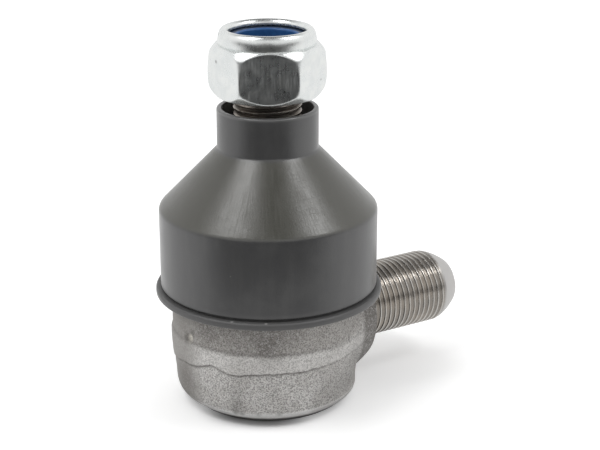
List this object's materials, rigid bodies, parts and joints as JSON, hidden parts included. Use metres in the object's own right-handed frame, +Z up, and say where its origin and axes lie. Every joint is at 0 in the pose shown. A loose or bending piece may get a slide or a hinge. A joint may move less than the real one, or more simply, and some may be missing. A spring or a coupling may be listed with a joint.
{
  "type": "steering ball joint",
  "caption": "Ball joint with a threaded shank, a ball stud set square to it under a bell-shaped rubber boot, and a nylon-insert locknut on the stud.",
  "frame": {"origin": "centre of the joint's underside, where the cover pad and the rolled rim are level", "axes": "+X along the threaded shank, towards its end; +Z up the ball stud, towards the nut"},
  "size_m": [0.0796, 0.054, 0.0904],
  "materials": {
    "forged_steel": "forged and shot-blasted, bare, with a machined thread",
    "pressed_steel": "pressed sheet, bare",
    "spring_steel": "dark hardened spring steel",
    "seat_plastic": "moulded acetal, natural",
    "stud_steel": "turned and rolled thread, oiled",
    "boot_rubber": "moulded, satin",
    "zinc_plate": "bright zinc plated",
    "nylon_blue": "moulded nylon"
  },
  "bodies": {
    "socket": {"housing": "forged_steel", "closing_plate": "pressed_steel", "disc_spring": "spring_steel", "upper_race": "seat_plastic"},
    "seat": {"lower_race": "seat_plastic"},
    "boot": {"dust_boot": "boot_rubber"},
    "stud": {"ball_stud": "stud_steel"},
    "nut_lift": {"nylon_insert": "nylon_blue"},
    "nut": {"locknut": "zinc_plate"}
  },
  "joints": [
    {"name": "stud_swivel", "type": "hinge", "parent": "socket", "child": "seat", "pos_m": [0, 0, 0.01769], "axis": [0, 0, 1], "continuous": true},
    {"name": "stud_tilt", "type": "hinge", "parent": "seat", "child": "boot", "pos_m": [0, 0, 0.01769], "axis": [0, 1, 0], "range_deg": [-20, 20], "deforming": ["dust_boot"]},
    {"name": "stud_spin", "type": "hinge", "parent": "boot", "child": "stud", "pos_m": [0, 0, 0.01769], "axis": [0, 0, 1], "continuous": true},
    {"name": "nut_travel", "type": "slide", "parent": "stud", "child": "nut_lift", "axis": [0, 0, 1], "range_m": [-0.00226, 0.00676]},
    {"name": "nut_turn", "type": "hinge", "parent": "nut_lift", "child": "nut", "pos_m": [0, 0, 0.07489], "axis": [0, 0, 1], "range_deg": [-540, 1620]}
  ],
  "couplings": [
    {"joint": "nut_travel", "follows": "nut_turn", "m_per_rad": 0.00023873}
  ]
}
